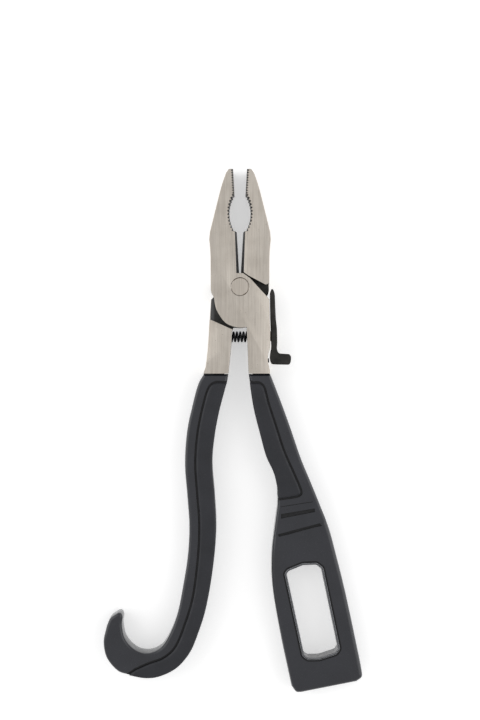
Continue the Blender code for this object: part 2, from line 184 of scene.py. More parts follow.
def normals(points, closed):
    """Normals to the left of the direction of travel, longer at corners so that an offset keeps its width."""
    pts = np.array(points, float)
    if closed:
        ahead = np.roll(pts, -1, axis=0)
        behind = np.roll(pts, 1, axis=0)
    else:
        ahead = np.vstack([pts[1:], pts[-1:]])
        behind = np.vstack([pts[:1], pts[:-1]])
    before = pts - behind
    after = ahead - pts
    before /= np.maximum(np.linalg.norm(before, axis=1), 1e-9)[:, None]
    after /= np.maximum(np.linalg.norm(after, axis=1), 1e-9)[:, None]
    along = before + after
    along /= np.maximum(np.linalg.norm(along, axis=1), 1e-9)[:, None]
    cosine = np.maximum((along * after).sum(axis=1), (along * before).sum(axis=1))
    cosine = np.maximum(cosine, TURN_LIMIT)
    return np.column_stack([-along[:, 1], along[:, 0]]) / cosine[:, None]


def inset(outline, distance):
    """The closed outline, counter-clockwise, moved inwards by distance."""
    return [tuple(p) for p in np.array(outline, float) + normals(outline, True) * distance]


def tuck(points, depth):
    """An open stretch of a counter-clockwise outline moved inwards, its ends kept."""
    move = normals(points, False) * depth
    move[0] = 0
    move[-1] = 0
    return [tuple(p) for p in np.array(points, float) + move]


def softened(corners, radius, steps):
    """A closed polygon with each corner rounded by a short curve."""
    pts = [np.array(p, float) for p in corners]
    outline = []
    for before, here, after in zip([pts[-1]] + pts[:-1], pts, pts[1:] + pts[:1]):
        back = before - here
        ahead = after - here
        reach = min(radius, CORNER_SHARE * np.linalg.norm(back), CORNER_SHARE * np.linalg.norm(ahead))
        start = here + back / np.linalg.norm(back) * reach
        end = here + ahead / np.linalg.norm(ahead) * reach
        for t in np.linspace(0, 1, steps + 1):
            outline.append(tuple((1 - t) ** 2 * start + 2 * t * (1 - t) * here + t ** 2 * end))
    return outline


# ------------------------------------------------------------------ meshes

def link(name, mesh, mat):
    """A mesh as an object in the scene, with its material."""
    obj = bpy.data.objects.new(name, mesh)
    bpy.context.scene.collection.objects.link(obj)
    if mat:
        mesh.materials.clear()
        mesh.materials.append(mat)
    return obj


def shade(mesh, angle=SMOOTH_ANGLE):
    """Smooth shading, with edges sharper than the angle kept crisp."""
    mesh.shade_smooth()
    mesh.set_sharp_from_angle(angle=math.radians(angle))


def solid(name, mat, vertices, faces):
    """A closed solid from millimetre vertices."""
    mesh = bpy.data.meshes.new(name)
    mesh.from_pydata([tuple(np.array(v) * MM) for v in vertices], [], faces)
    work = bmesh.new()
    work.from_mesh(mesh)
    bmesh.ops.recalc_face_normals(work, faces=work.faces)
    work.to_mesh(mesh)
    work.free()
    shade(mesh)
    return link(name, mesh, mat)


def stack(name, mat, loops, ring=False):
    """A solid skinned over loops of equal length, with end caps, or closed on itself as a ring."""
    count = len(loops[0])
    vertices = [v for loop in loops for v in loop]
    faces = [] if ring else [list(range(count)), list(range(len(vertices) - count, len(vertices)))]
    for k in range(len(loops) if ring else len(loops) - 1):
        low = k * count
        high = (k + 1) % len(loops) * count
        for i in range(count):
            j = (i + 1) % count
            faces.append([low + i, low + j, high + j, high + i])
    return solid(name, mat, vertices, faces)


def slab(name, outline, low, high):
    """A plain plate with square edges, for cutting."""
    return stack(name, None, [[(x, y, z) for x, y in outline] for z in (low, high)])


def nearest(outline, points):
    """Each point's distance to a closed outline, and whether it lies inside."""
    start = np.array(outline, float)
    run = np.roll(start, -1, axis=0) - start
    pts = np.array(points, float)
    along = pts[:, None, :] - start[None, :, :]
    share = np.clip((along * run).sum(axis=2) / np.maximum((run * run).sum(axis=1), 1e-12), 0, 1)
    distance = np.sqrt(((along - share[:, :, None] * run) ** 2).sum(axis=2)).min(axis=1)
    crosses = (start[None, :, 1] > pts[:, None, 1]) != ((start + run)[None, :, 1] > pts[:, None, 1])
    rise = np.where(np.abs(run[:, 1]) < 1e-12, 1e-12, run[:, 1])
    meet = start[:, 0] + (pts[:, None, 1] - start[:, 1]) / rise * run[:, 0]
    inside = (crosses & (pts[:, None, 0] < meet)).sum(axis=1) % 2 == 1
    return distance, inside


def dense(outline, spacing):
    """A closed outline with points added wherever two are further apart than spacing."""
    points = []
    for a, b in zip(outline, outline[1:] + outline[:1]):
        count = max(1, math.ceil(math.dist(a, b) / spacing))
        run = (b[0] - a[0], b[1] - a[1])
        points += [(a[0] + run[0] * k / count, a[1] + run[1] * k / count) for k in range(count)]
    return points


def pillow(name, mat, outline, low, high, radius):
    """A plate with round edges, of any outline: its height follows the distance to the edge.

    Rows of points follow the edge, a grid fills the face, and both faces share one triangulation.
    """
    edge = np.array(dense(outline, EDGE_SPACING), float)
    count = len(edge)
    inward = normals(edge, True)
    points = [edge]
    for share in EDGE_SHARES:
        step = share * radius
        moved = edge + inward * step
        distance, inside = nearest(edge, moved)
        points.append(moved[inside & (distance > ROW_KEPT * step)])
    lowest = edge.min(axis=0)
    highest = edge.max(axis=0)
    grid = np.array([(x, y) for x in np.arange(lowest[0], highest[0], FACE_SPACING)
                     for y in np.arange(lowest[1], highest[1], FACE_SPACING)])
    distance, inside = nearest(edge, grid)
    points.append(grid[inside & (distance > radius * FACE_CLEARANCE)])
    flat = np.vstack(points)
    done = delaunay_2d_cdt([Vector(p) for p in flat], [], [list(range(count))], 1, 1e-7)
    plan = np.array([tuple(v) for v in done[0]])
    triangles = [tuple(f) for f in done[2]]
    place = {}
    for new, olds in enumerate(done[3]):
        for old in olds:
            place[old] = new
    distance = nearest(edge, plan)[0]
    rim = [place[i] for i in range(count)]
    distance[rim] = 0
    depth = radius - np.minimum(distance, radius)
    drop = radius - np.sqrt(radius ** 2 - depth ** 2)
    total = len(plan)
    vertices = [(x, y, high - d) for (x, y), d in zip(plan, drop)]
    vertices += [(x, y, low + d) for (x, y), d in zip(plan, drop)]
    faces = triangles + [tuple(total + i for i in reversed(f)) for f in triangles]
    for i, j in zip(rim, rim[1:] + rim[:1]):
        faces.append((i + total, j + total, j, i))
    return solid(name, mat, vertices, faces)


def tube(name, mat, path, radius, sides=12):
    """A round wire along a path of millimetre points, with flat ends."""
    pts = np.array(path, float)
    along = np.gradient(pts, axis=0)
    along /= np.linalg.norm(along, axis=1)[:, None]
    off_axis = (0.3, 0.2, 1.0)
    out = np.cross(along[0], off_axis)
    loops = []
    for point, direction in zip(pts, along):
        out = out - direction * out.dot(direction)
        out /= np.linalg.norm(out)
        side = np.cross(direction, out)
        turns = 2 * math.pi * np.arange(sides) / sides
        loops.append([tuple(point + radius * (out * math.cos(t) + side * math.sin(t))) for t in turns])
    return stack(name, mat, loops)


def coil_path(ends, y, z, radius, turns, wire, dead_turns=1.0, per_turn=28):
    """A helix along X whose end turns lie close together."""
    total = int(turns * per_turn)
    length = ends[1] - ends[0] - 2 * wire
    live = turns - 2 * dead_turns
    closed = 2 * wire * DEAD_PITCH * dead_turns
    points = []
    for i in range(total + 1):
        turn = i / per_turn
        angle = 2 * math.pi * turn
        travel = np.interp(turn, [0, dead_turns, dead_turns + live, turns],
                           [0, closed, length - closed, length])
        x = ends[0] + wire + travel
        points.append((x, y + radius * math.cos(angle), z + radius * math.sin(angle)))
    return points


def apply(obj, tool, operation):
    """Joins or cuts obj with a helper solid, which is then removed."""
    step = obj.modifiers.new("step", "BOOLEAN")
    step.operation = operation
    step.solver = "EXACT"
    step.object = tool
    view = bpy.context.evaluated_depsgraph_get()
    mesh = bpy.data.meshes.new_from_object(obj.evaluated_get(view))
    obj.modifiers.clear()
    obj.data = mesh
    bpy.data.objects.remove(tool, do_unlink=True)
    return obj


def cut(obj, *tools):
    """Takes each tool's solid out of obj."""
    for tool in tools:
        apply(obj, tool, "DIFFERENCE")
    return obj


def join(obj, *tools):
    """Adds each tool's solid to obj."""
    for tool in tools:
        apply(obj, tool, "UNION")
    return obj


def pegs(points, radius, low, high, sides=10):
    """One cutter made of an upright peg at each point."""
    vertices = []
    faces = []
    for x, y in points:
        base = len(vertices)
        for z in (low, high):
            vertices += [(x + radius * math.cos(t), y + radius * math.sin(t), z)
                         for t in 2 * math.pi * np.arange(sides) / sides]
        faces += [list(range(base, base + sides)), list(range(base + sides, base + 2 * sides))]
        faces += [[base + i, base + (i + 1) % sides, base + sides + (i + 1) % sides, base + sides + i]
                  for i in range(sides)]
    return solid("pegs", None, vertices, faces)


def eased(node, name, mat, width):
    """A copy of a CAD node's solid with its sharp edges broken, to show in its place."""
    work = bmesh.new()
    work.from_mesh(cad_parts[node].data)
    bmesh.ops.remove_doubles(work, verts=work.verts, dist=WELD * MM)
    bmesh.ops.dissolve_limit(work, angle_limit=math.radians(FLAT_ANGLE), verts=work.verts, edges=work.edges)
    paired = [e for e in work.edges if len(e.link_faces) == 2]
    sharp = [e for e in paired if e.calc_face_angle(0) > math.radians(EASED_ANGLE)
             and (e.verts[0].co.y + e.verts[1].co.y) / 2 > SHARP_BELOW_Y * MM]
    bmesh.ops.bevel(work, geom=sharp, offset=width * MM, segments=2, profile=0.5, affect="EDGES",
                    clamp_overlap=False, loop_slide=True)
    bmesh.ops.remove_doubles(work, verts=work.verts, dist=WELD * MM)
    bmesh.ops.recalc_face_normals(work, faces=work.faces)
    mesh = bpy.data.meshes.new(name)
    work.to_mesh(mesh)
    work.free()
    shade(mesh, FORGED_SMOOTH_ANGLE)
    obj = link(name, mesh, mat)
    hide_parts(node)
    return obj


# --------------------------------------------------------------- materials

STEEL_DARK = (0.58, 0.522, 0.456)
STEEL_LIGHT = (0.75, 0.69, 0.615)
STEEL_GLINT = (0.82, 0.775, 0.71)
STEEL_CLOUD = (0.44, 0.39, 0.33)
STEEL_SPECK = (0.26, 0.22, 0.18)
RUST = (0.13, 0.075, 0.035)
OXIDE_DARK = (0.022, 0.021, 0.019)
OXIDE_LIGHT = (0.050, 0.048, 0.043)
OXIDE_PALE = (0.12, 0.12, 0.12)
PALE_STRIP_X = (-11.8, -11.0)    # the joint's recess is paler at its outer edge
PALE_STRIP_TOP_Y = -0.5
CUTTER_LOW_Y = 5.0               # the cutters' faces, between the joint and the pipe grip
CUTTER_HIGH_Y = GRIP_LOW_Y + 0.3
CUTTER_REACH_X = 4.5
CUTTER_PALE = 0.8
JOINT_SIDE_Y = -2.4              # below it, a forging's outer edge is on the side away from its jaw
RIVET_RIM = (3.55, 3.85)         # radii between which the rivet's edge darkens
RIVET_STAIN = (2.7, 3.3)         # radii between which the rust stain begins
RIVET_STAIN_SIDE = (4.4, 5.0)    # and how far to the lower right
VINYL_DARK = (0.0085, 0.0096, 0.0155)
VINYL_LIGHT = (0.0155, 0.0168, 0.0245)
VINYL_DUST = (0.07, 0.07, 0.075)
# painted shadow: the near-black colour given to the grooves' floors
VINYL_PAINTED_SHADOW = (0.0025, 0.0026, 0.0040)
# painted highlight: the pale colour along the crest of the slot's lip
VINYL_PAINTED_HIGHLIGHT = (0.46, 0.47, 0.50)
SLOT_TOP_Y = -112.0              # the slot's lip is below it
LEVEL = 0.93                     # the least upright part of a level face's normal
PLATE_SUNK = 0.2                 # a level face this far below the pry end's face is a groove's floor, painted dark as shadow
HANDLE_SUNK = 0.18               # and this far below the handle's face
RUBBER_DARK = (0.0110, 0.0120, 0.0165)
RUBBER_LIGHT = (0.0185, 0.0196, 0.0260)
RUBBER_GRAIN = (0.055, 0.054, 0.056)


class Nodes:
    """Short names for building a node material in object coordinates."""

    def __init__(self, name, roughness, metallic=0.0, **constants):
        self.mat = bpy.data.materials.new(name)
        self.mat.use_nodes = True
        self.tree = self.mat.node_tree
        self.shader = self.tree.nodes["Principled BSDF"]
        self.shader.inputs["Roughness"].default_value = roughness
        self.shader.inputs["Metallic"].default_value = metallic
        for socket, value in constants.items():
            self.shader.inputs[socket.replace("_", " ")].default_value = value
        self.coords = self.tree.nodes.new("ShaderNodeTexCoord").outputs["Object"]

    def wire(self, source, target):
        self.tree.links.new(source, target)

    def noise(self, scale, detail=4.0, stretch=(1, 1, 1), roughness=0.55):
        """Noise with features about 1 / scale metres across, stretched by the given factors."""
        mapping = self.tree.nodes.new("ShaderNodeMapping")
        mapping.inputs["Scale"].default_value = tuple(scale / s for s in stretch)
        self.wire(self.coords, mapping.inputs["Vector"])
        texture = self.tree.nodes.new("ShaderNodeTexNoise")
        texture.inputs["Scale"].default_value = 1.0
        texture.inputs["Detail"].default_value = detail
        texture.inputs["Roughness"].default_value = roughness
        self.wire(mapping.outputs["Vector"], texture.inputs["Vector"])
        return texture.outputs["Fac"]

    def span(self, value, low, high, out_low=0.0, out_high=1.0, smooth=False):
        """The value taken from low..high to out_low..out_high, and held at the ends."""
        node = self.tree.nodes.new("ShaderNodeMapRange")
        node.interpolation_type = "SMOOTHSTEP" if smooth else "LINEAR"
        limits = {"From Min": low, "From Max": high, "To Min": out_low, "To Max": out_high}
        for socket, number in limits.items():
            node.inputs[socket].default_value = number
        self.wire(value, node.inputs["Value"])
        return node.outputs["Result"]

    def math(self, operation, a, b=0.0, c=0.0):
        node = self.tree.nodes.new("ShaderNodeMath")
        node.operation = operation
        for socket, value in zip(node.inputs, (a, b, c)):
            if isinstance(value, (int, float)):
                socket.default_value = value
            else:
                self.wire(value, socket)
        return node.outputs["Value"]

    def blend(self, factor, first, second):
        """A colour between first and second; the Mix node's colour sockets are its inputs 6 and 7."""
        node = self.tree.nodes.new("ShaderNodeMix")
        node.data_type = "RGBA"
        for socket, value in zip((node.inputs[0], node.inputs[6], node.inputs[7]), (factor, first, second)):
            if isinstance(value, tuple):
                socket.default_value = (*value, 1.0)
            elif isinstance(value, (int, float)):
                socket.default_value = value
            else:
                self.wire(value, socket)
        return node.outputs[2]

    def bumps(self, *layers):
        """Bump from (height, strength, distance in mm) layers, one over the other."""
        normal = None
        for height, strength, distance in layers:
            node = self.tree.nodes.new("ShaderNodeBump")
            node.inputs["Strength"].default_value = strength
            node.inputs["Distance"].default_value = distance * MM
            self.wire(height, node.inputs["Height"])
            if normal:
                self.wire(normal, node.inputs["Normal"])
            normal = node.outputs["Normal"]
        self.wire(normal, self.shader.inputs["Normal"])

    def colour(self, value):
        self.wire(value, self.shader.inputs["Base Color"])

    def rough(self, value):
        self.wire(value, self.shader.inputs["Roughness"])


def separate(nodes, vector):
    """The X, Y and Z of a vector."""
    split = nodes.tree.nodes.new("ShaderNodeSeparateXYZ")
    nodes.wire(vector, split.inputs["Vector"])
    return split.outputs


def in_metres(pair):
    return [value * MM for value in pair]


def ground_steel(name, jaw_side):
    """Steel ground bright on its flat faces and outer edges, dark oxide in the joint and between the jaws.

    jaw_side is -1 where the forging's jaw is on the left and 1 where it is on the right.
    """
    n = Nodes(name, 0.4, 1.0, Anisotropic=0.45)
    streaks = n.noise(2600, 3, (1, 60, 1))
    fine = n.noise(9000, 2, (1, 45, 1))
    cloud = n.noise(110, 3)
    specks = n.noise(1900, 2)
    tone = n.blend(n.span(streaks, 0.3, 0.7), STEEL_DARK, STEEL_LIGHT)
    tone = n.blend(n.span(fine, 0.35, 0.65, 0.0, 0.35), tone, STEEL_GLINT)
    tone = n.blend(n.span(cloud, 0.42, 0.72, 0.0, 0.30), tone, STEEL_CLOUD)
    tone = n.blend(n.span(specks, 0.66, 0.74, 0.0, 0.55), tone, STEEL_SPECK)
    oxide = n.blend(n.span(n.noise(420, 4), 0.3, 0.7), OXIDE_DARK, OXIDE_LIGHT)

    place = separate(n, n.coords)
    strip = n.math("MULTIPLY", n.span(place[0], *in_metres(PALE_STRIP_X), 1.0, 0.0),
                   n.math("LESS_THAN", place[1], PALE_STRIP_TOP_Y * MM))
    cutters = n.math("MULTIPLY", n.math("GREATER_THAN", place[1], CUTTER_LOW_Y * MM),
                     n.math("LESS_THAN", place[1], CUTTER_HIGH_Y * MM))
    near_middle = n.math("LESS_THAN", n.math("ABSOLUTE", place[0]), CUTTER_REACH_X * MM)
    cutters = n.math("MULTIPLY", cutters, near_middle)
    pale = n.math("MAXIMUM", strip, n.math("MULTIPLY", cutters, CUTTER_PALE))
    oxide = n.blend(pale, oxide, OXIDE_PALE)

    facing = separate(n, n.tree.nodes.new("ShaderNodeNewGeometry").outputs["Normal"])
    flat = n.span(n.math("ABSOLUTE", facing[2]), 0.80, 0.95, smooth=True)
    height = n.math("ABSOLUTE", n.math("SUBTRACT", place[2], MID * MM))
    outer_face = n.span(height, 0.55 * MID * MM, 0.7 * MID * MM)
    above_joint = n.math("GREATER_THAN", place[1], JOINT_SIDE_Y * MM)
    side = n.math("MULTIPLY_ADD", above_joint, 2.0, -1.0)
    outward = n.math("MULTIPLY", n.math("MULTIPLY", facing[0], float(jaw_side)), side)
    edge = n.span(outward, 0.25, 0.6, smooth=True)
    bright = n.math("MAXIMUM", n.math("MULTIPLY", flat, outer_face), edge)
    bright = n.math("MULTIPLY", bright, n.math("GREATER_THAN", place[1], SHOULDER_Y * MM))
    n.colour(n.blend(bright, oxide, tone))
    n.wire(bright, n.shader.inputs["Metallic"])
    shine = n.span(streaks, 0.25, 0.75, 0.34, 0.50)
    n.rough(n.math("ADD", shine, n.span(bright, 0.0, 1.0, 0.12, 0.0)))
    n.bumps((streaks, 0.16, 0.06), (fine, 0.12, 0.03), (n.noise(700, 3), 0.05, 0.1))
    return n.mat


def rivet_steel():
    """The same ground steel, with a crust round the rim and a rust stain at the lower right."""
    n = Nodes("rivet_steel_ground", 0.4, 1.0)
    streaks = n.noise(2600, 3, (1, 60, 1))
    place = separate(n, n.coords)
    squares = n.math("ADD", n.math("POWER", place[0], 2.0), n.math("POWER", place[1], 2.0))
    radius = n.math("SQRT", squares)
    rim = n.span(radius, *in_metres(RIVET_RIM), smooth=True)
    crust = n.math("MULTIPLY", rim, n.span(n.noise(420, 3), 0.42, 0.62))
    tone = n.blend(n.span(streaks, 0.3, 0.7), STEEL_DARK, STEEL_LIGHT)
    below = n.math("SUBTRACT", n.math("MULTIPLY", place[0], 0.8), place[1])
    outer = n.span(radius, *in_metres(RIVET_STAIN))
    stain = n.math("MULTIPLY", outer, n.span(below, *in_metres(RIVET_STAIN_SIDE)))
    n.colour(n.blend(n.math("MAXIMUM", crust, stain), tone, RUST))
    n.rough(n.span(streaks, 0.25, 0.75, 0.34, 0.50))
    n.bumps((streaks, 0.16, 0.06), (n.noise(900, 3), 0.08, 0.1))
    return n.mat


def plain_pin_steel():
    """Turned steel, duller than the ground faces."""
    n = Nodes("pin_steel", 0.35, 1.0)
    n.colour(n.blend(n.span(n.noise(1500, 3), 0.3, 0.7), (0.42, 0.39, 0.35), (0.55, 0.52, 0.47)))
    n.rough(n.span(n.noise(3000, 2), 0.3, 0.7, 0.28, 0.45))
    n.bumps((n.noise(6000, 2), 0.08, 0.03))
    return n.mat


def black_oxide():
    """The latch: blackened steel, a little browner and rubbed where a thumb works it."""
    n = Nodes("latch_black_oxide", 0.4, 0.55)
    rub = n.noise(260, 4)
    n.colour(n.blend(n.span(rub, 0.35, 0.7), (0.016, 0.016, 0.014), (0.040, 0.038, 0.034)))
    n.rough(n.span(n.noise(900, 3), 0.3, 0.7, 0.30, 0.52))
    n.bumps((n.noise(1400, 3), 0.18, 0.08), (rub, 0.10, 0.3))
    return n.mat


def spring_wire():
    """Blackened drawn wire."""
    n = Nodes("spring_wire_black", 0.3, 0.9)
    n.colour(n.blend(n.span(n.noise(1500, 3), 0.35, 0.7), (0.020, 0.020, 0.021), (0.075, 0.075, 0.078)))
    n.rough(n.span(n.noise(2500, 2), 0.3, 0.7, 0.24, 0.42))
    n.bumps((n.noise(5000, 2), 0.10, 0.03))
    return n.mat


def dipped_vinyl():
    """Charcoal vinyl: glossy, with the slight orange peel and sag of a dip, and dust in its grain.

    The colour of the grooves' floors stands in for their deep shadow, and the pale crest of the slot's lip
    for the highlight along it.
    """
    n = Nodes("dipped_vinyl", 0.3, 0.0, Coat_Weight=0.5, Coat_Roughness=0.08)
    cloud = n.noise(70, 4)
    dust = n.noise(3200, 2)
    tone = n.blend(n.span(cloud, 0.3, 0.7), VINYL_DARK, VINYL_LIGHT)
    tone = n.blend(n.span(dust, 0.62, 0.74, 0.0, 0.5), tone, VINYL_DUST)

    pry_face = PRY_HIGH - MID
    handle_face = COATING_HIGH - MID
    place = separate(n, n.coords)
    height = n.math("ABSOLUTE", n.math("SUBTRACT", place[2], MID * MM))
    # the crest of the slot's lip gets a painted highlight
    slot_side = n.math("GREATER_THAN", place[0], 0.0)
    lip = n.math("MULTIPLY", slot_side, n.math("LESS_THAN", place[1], SLOT_TOP_Y * MM))
    lip = n.math("MULTIPLY", lip, n.math("GREATER_THAN", height, (pry_face + LIP_HIGHLIGHT_RISE) * MM))
    tone = n.blend(lip, tone, VINYL_PAINTED_HIGHLIGHT)

    facing = separate(n, n.tree.nodes.new("ShaderNodeNewGeometry").outputs["True Normal"])
    level = n.math("GREATER_THAN", n.math("ABSOLUTE", facing[2]), LEVEL)
    on_plate = n.math("LESS_THAN", height, (pry_face - PLATE_SUNK) * MM)
    on_handle = n.math("MULTIPLY", n.math("GREATER_THAN", height, (pry_face + PLATE_SUNK) * MM),
                       n.math("LESS_THAN", height, (handle_face - HANDLE_SUNK) * MM))
    # the grooves' floors are painted near black as shadow
    groove_floor_shadow = n.math("MULTIPLY", level, n.math("MAXIMUM", on_plate, on_handle))
    n.colour(n.blend(groove_floor_shadow, tone, VINYL_PAINTED_SHADOW))
    shine = n.span(n.noise(480, 4), 0.3, 0.7, 0.26, 0.44)
    n.rough(n.math("ADD", shine, n.math("MULTIPLY", groove_floor_shadow, 0.5)))
    n.bumps((n.noise(240, 3), 0.16, 0.25), (n.noise(1500, 3), 0.16, 0.06), (dust, 0.08, 0.03))
    return n.mat


def grip_rubber():
    """Softer, duller layer with a fine pebble."""
    n = Nodes("grip_rubber", 0.5)
    cloud = n.noise(90, 4)
    pebble = n.noise(2400, 3)
    tone = n.blend(n.span(cloud, 0.3, 0.7), RUBBER_DARK, RUBBER_LIGHT)
    n.colour(n.blend(n.span(pebble, 0.58, 0.75, 0.0, 0.5), tone, RUBBER_GRAIN))
    n.rough(n.span(n.noise(600, 4), 0.3, 0.7, 0.40, 0.58))
    n.bumps((n.noise(300, 3), 0.14, 0.2), (pebble, 0.22, 0.06))
    return n.mat


# ------------------------------------------------------------------ pieces

HOOK_OUTER = [(-15.9, COATING_TOP_Y), (-18.4, -42.9), (-20.9, -52.2), (-23.2, -63.4), (-24.1, -77.5),
              (-23.0, -92.1), (-22.2, -104.6), (-22.8, -117.1), (-24.7, -129.6), (-27.2, -142.3)]
HOOK_INSIDE = [(-30.3, -151.0), (-34.4, -157.6), (-40.3, -160.2), (-46.0, -158.7), (-50.3, -154.0),
               (-51.6, -148.3), (-51.3, -144.3)]
HOOK_TIP = [(-51.7, -143.1), (-52.4, -142.5), (-53.3, -142.5), (-56.3, -144.4), (-57.2, -145.5)]
HOOK_OUTSIDE = [(-58.3, -148.3), (-59.7, -155.2), (-58.3, -162.3), (-53.6, -167.9), (-49.0, -169.6)]
HOOK_GRIPPED = [(-49.0, -169.6), (-41.6, -171.0), (-34.9, -170.2), (-27.6, -166.5), (-22.0, -160.0),
                (-18.6, -152.3), (-14.9, -140.6), (-11.9, -123.5), (-10.5, -106.7), (-11.1, -92.0),
                (-12.2, -77.5), (-11.3, -66.3), (-9.3, -55.2), (-6.6, -44.8), (-5.7, -41.9)]
HOOK_TOP = [(-5.1, COATING_TOP_Y)]
HOOK_GROOVE = [(-6.6, -42.0), (-10.9, -42.1), (-13.6, -44.6), (-15.9, -52.2), (-18.3, -64.5), (-19.2, -77.4),
               (-18.4, -90.0), (-17.5, -102.5), (-17.9, -116.5), (-20.2, -135.1), (-24.0, -148.0),
               (-28.0, -157.4), (-33.3, -162.3), (-39.9, -164.8), (-45.5, -167.3)]

SLOT_TOP = [(3.8, COATING_TOP_Y)]
SLOT_GRIPPED = [(4.3, -41.5), (4.7, -45.2), (6.2, -54.2), (8.9, -64.9), (11.4, -74.0), (14.6, -81.0),
                (16.3, -87.6), (16.5, -92.6)]
SLOT_INNER = [(16.4, -96.0), (15.2, -105.0), (13.9, -117.0), (14.3, -131.8), (17.7, -151.9), (21.3, -169.0)]
SLOT_END = [(22.6, -174.9), (24.6, -177.5), (26.8, -177.7), (51.1, -172.9), (53.5, -170.9)]
SLOT_OUTER = [(53.3, -167.5), (51.4, -158.0), (46.2, -133.7), (42.0, -116.8), (38.9, -105.5), (34.6, -94.4),
              (30.9, -85.3), (26.6, -74.9), (21.9, -61.2), (17.8, -49.9), (13.8, -39.6)]
SLOT_LAST = [(13.2, COATING_TOP_Y)]
SLOT_GROOVE = [(22.3, -91.8), (25.4, -91.1), (26.4, -89.2), (23.4, -81.8), (18.9, -71.6), (15.6, -61.4),
               (12.3, -51.3), (10.4, -44.3), (8.4, -42.2), (5.6, -42.2)]
SLOT_HEXAGON = [(20.4, -125.6), (28.1, -161.1), (29.8, -162.4), (34.8, -162.3), (41.8, -160.0),
                (42.9, -158.3), (35.6, -123.3), (33.4, -121.6), (27.6, -121.8), (21.4, -124.3)]
TRANSVERSE_GROOVE = [(17.9, -101.3), (17.9, -99.3), (32.7, -96.8), (32.7, -98.4)]
FINE_GROOVE = [(17.7, -96.3), (17.7, -96.0), (31.8, -93.8), (31.8, -94.1)]
STEP_FOOT = [(16.6, -108.1), (21.2, -106.9), (27.6, -105.2), (32.9, -103.8), (34.7, -103.3), (36.0, -104.6),
             (34.8, -104.8), (32.9, -105.2), (27.6, -106.6), (21.2, -108.4), (17.0, -109.4)]
PRY_LINE = [(10.0, -109.9), (17.0, -108.0), (34.7, -103.3), (50.0, -99.2)]
PRY_FAR = (70, -185)
LATCH_OUTLINE = [(13.9, -33.9), (16.3, -34.0), (21.7, -34.1), (22.3, -32.6), (22.4, -30.5), (21.7, -29.4),
                 (16.9, -29.1), (16.1, -27.2), (16.35, -24.7), (16.2, -18.3), (15.7, -14.0), (15.4, -7.6),
                 (15.3, -3.9), (15.0, -2.2), (14.5, -1.1), (13.8, -0.8), (13.1, -2.6), (13.15, -5.4),
                 (13.3, -14.9), (13.5, -19.8), (13.7, -25.5), (13.7, -26.9), (13.25, -28.9), (13.05, -31.1),
                 (13.3, -32.6)]


def hook_silhouette(depth):
    """The hook handle seen from above; depth steps the gripped side in."""
    return (spline(HOOK_OUTER + HOOK_INSIDE) + HOOK_TIP + spline(HOOK_OUTSIDE)[:-1]
            + spline(tuck(HOOK_GRIPPED, depth)) + HOOK_TOP)


def slot_silhouette(depth):
    """The slot handle seen from above; depth steps the gripped side in."""
    return (SLOT_TOP + spline(tuck(SLOT_GRIPPED, depth)) + spline(SLOT_INNER)
            + spline(SLOT_END[:3], END_STEPS) + spline(SLOT_END[3:] + SLOT_OUTER[:1], END_STEPS)[:-1]
            + spline(SLOT_OUTER) + SLOT_LAST)


def slot_opening():
    """The slot's outline with its corners eased."""
    return softened(SLOT_HEXAGON, HEXAGON_ROUND, CORNER_STEPS)


def hollow(name, silhouette, low, high):
    """The room inside a coating, open through its top end."""
    top = SHOULDER_Y - 2 * COATING_WALL - PAST
    outline = [(x, OPEN_END_Y if y > top else y) for x, y in inset(silhouette, COATING_WALL)]
    return slab(name, outline, low + COATING_WALL, high - COATING_WALL)


def channels(sleeve, outline, depth=CHANNEL_DEPTH, low=COATING_LOW, high=COATING_HIGH):
    """Sinks the area inside an outline into both faces of a coating."""
    cut(sleeve, slab("channel_over", outline, high - depth, THICKNESS + PAST))
    cut(sleeve, slab("channel_under", outline, -PAST, low + depth))


def hook_coating(mat, silhouette):
    """The sleeve over the hooked handle, with the groove beside its grip."""
    sleeve = pillow("hook_handle_vinyl", mat, silhouette, COATING_LOW, COATING_HIGH, COATING_ROUND)
    cut(sleeve, hollow("hook_hollow", silhouette, COATING_LOW, COATING_HIGH))
    channels(sleeve, inset(spline(HOOK_GRIPPED) + spline(HOOK_GROOVE), -CHANNEL_WIDTH))
    shade(sleeve.data)
    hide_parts("hook_handle_coating")
    return sleeve


def pry_plate(name, shift, low, high):
    """Everything past the pry line, moved up the handle by shift."""
    edge = [(x, y + shift) for x, y in PRY_LINE]
    outline = [(edge[0][0], PRY_FAR[1]), PRY_FAR, (PRY_FAR[0], edge[-1][1])] + edge[::-1]
    return slab(name, outline, low, high)


def ring_cutter(outline, near, far, low, high):
    """A square-sided cutter that runs round a closed outline, from near to far outside it."""
    corners = ((near, low), (far, low), (far, high), (near, high))
    return stack("ring", None, [[(x, y, z) for x, y in inset(outline, -d)] for d, z in corners], ring=True)


def slot_lip():
    """The raised rim round the slot on both faces, with the slot's wall between."""
    hexagon = slot_opening()
    foot = PRY_HIGH - LIP_SINK
    profile = [(LIP_REACH, foot)]
    for i in range(LIP_STEPS + 1):
        angle = math.pi * i / LIP_STEPS
        out = -LIP_WIDTH / 2 * (1 - math.cos(angle))
        profile.append((out, foot + (LIP_HEIGHT + LIP_SINK) * math.sin(angle)))
    upper = [[(x, y, z) for x, y in inset(hexagon, step)] for step, z in profile]
    lower = [[(x, y, THICKNESS - z) for x, y, z in loop] for loop in reversed(upper)]
    return stack("lip", None, upper + lower, ring=True)


def slot_sleeve(mat, silhouette):
    """The slotted coating's outer form: the handle, and the thinned end that grows out of it."""
    sleeve = pillow("slot_handle_vinyl", mat, silhouette, COATING_LOW, COATING_HIGH, COATING_ROUND)
    cut(sleeve, pry_plate("over", 0, PRY_LOW, THICKNESS + PAST),
        pry_plate("under", 0, -PAST, PRY_LOW + PRY_OVERCUT))
    blade = pillow("blade", None, silhouette, PRY_LOW, PRY_HIGH, PRY_ROUND)
    apply(blade, pry_plate("keep", PRY_OVERLAP, -PAST, THICKNESS + PAST), "INTERSECT")
    return join(sleeve, blade)


